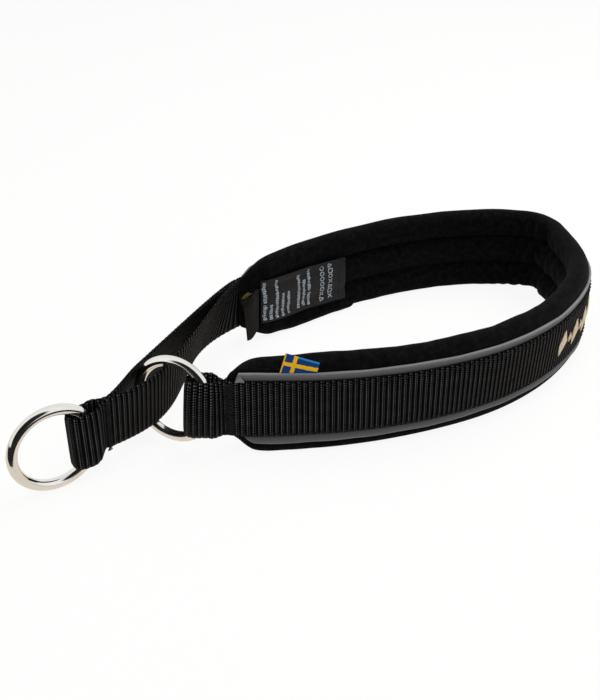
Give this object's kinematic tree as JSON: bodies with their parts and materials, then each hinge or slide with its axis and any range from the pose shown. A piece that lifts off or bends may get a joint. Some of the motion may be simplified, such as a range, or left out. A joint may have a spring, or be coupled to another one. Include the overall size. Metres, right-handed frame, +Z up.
{
  "type": "half-choke dog collar",
  "caption": "Padded half-choke dog collar: a webbing-faced neck band drawn closed by a strap loop that runs through a slide ring and ends in a leash ring.",
  "frame": {"origin": "middle of the collar's bounding box in plan, on the table it stands on", "axes": "+X to the right along the collar's length, +Y away from the viewer, +Z up across the width of the band"},
  "size_m": [0.2511, 0.1895, 0.043],
  "materials": {
    "lining": "soft matt knit",
    "foam": "open-cell foam, hidden",
    "webbing": "ribbed woven nylon",
    "piping": "reflective woven tape",
    "thread": "dense bar tack of nylon thread",
    "ring_steel": "polished nickel plate",
    "label": "satin ribbon",
    "label_tail": "woven ribbon",
    "flag": "woven tab"
  },
  "bodies": {
    "band_front": {"foam_front": "foam", "foam_bend": "foam", "lining_front": "lining", "lining_bend": "lining", "webbing_front": "webbing", "webbing_bend": "webbing", "piping_upper_front": "piping", "piping_upper_bend": "piping", "piping_lower_front": "piping", "piping_lower_bend": "piping", "slide_loop": "webbing", "slide_loop_tack": "thread", "flag_tab": "flag"},
    "band_back": {"foam_back": "foam", "lining_back": "lining", "webbing_back": "webbing", "piping_upper_back": "piping", "piping_lower_back": "piping", "strap_anchor_tack": "thread", "care_label": "label", "label_tail": "label_tail"},
    "control_strap": {"strap_front_ply": "webbing", "strap_rear_ply": "webbing", "leash_loop": "webbing", "leash_loop_tack": "thread"},
    "slide_ring_link": {"slide_ring": "ring_steel"},
    "leash_ring_link": {"leash_ring": "ring_steel"}
  },
  "joints": [
    {"name": "band_draw", "type": "hinge", "parent": "band_front", "child": "band_back", "pos_m": [0.10722, 0.08515, 0.021], "axis": [0, 0, 1], "range_deg": [-5, 8], "deforming": ["foam_bend", "lining_bend", "webbing_bend", "piping_upper_bend", "piping_lower_bend", "strap_front_ply", "strap_rear_ply"]},
    {"name": "strap_follow", "type": "hinge", "parent": "band_back", "child": "control_strap", "pos_m": [-0.04431, 0.02785, 0.021], "axis": [0, 0, 1], "range_deg": [-20, 13], "deforming": ["strap_front_ply", "strap_rear_ply"]},
    {"name": "slide_ring_swing", "type": "hinge", "parent": "band_front", "child": "slide_ring_link", "pos_m": [-0.05388, -0.05854, 0.021], "axis": [0, 0, 1], "range_deg": [-20, 20], "deforming": ["slide_loop", "strap_front_ply", "strap_rear_ply"]},
    {"name": "leash_ring_swing", "type": "hinge", "parent": "control_strap", "child": "leash_ring_link", "pos_m": [-0.09793, -0.07539, 0.01915], "axis": [0, 0, 1], "range_deg": [-50, 50], "deforming": ["leash_loop"]}
  ],
  "couplings": [
    {"joint": "strap_follow", "follows": "band_draw", "ratio": -2.3}
  ]
}
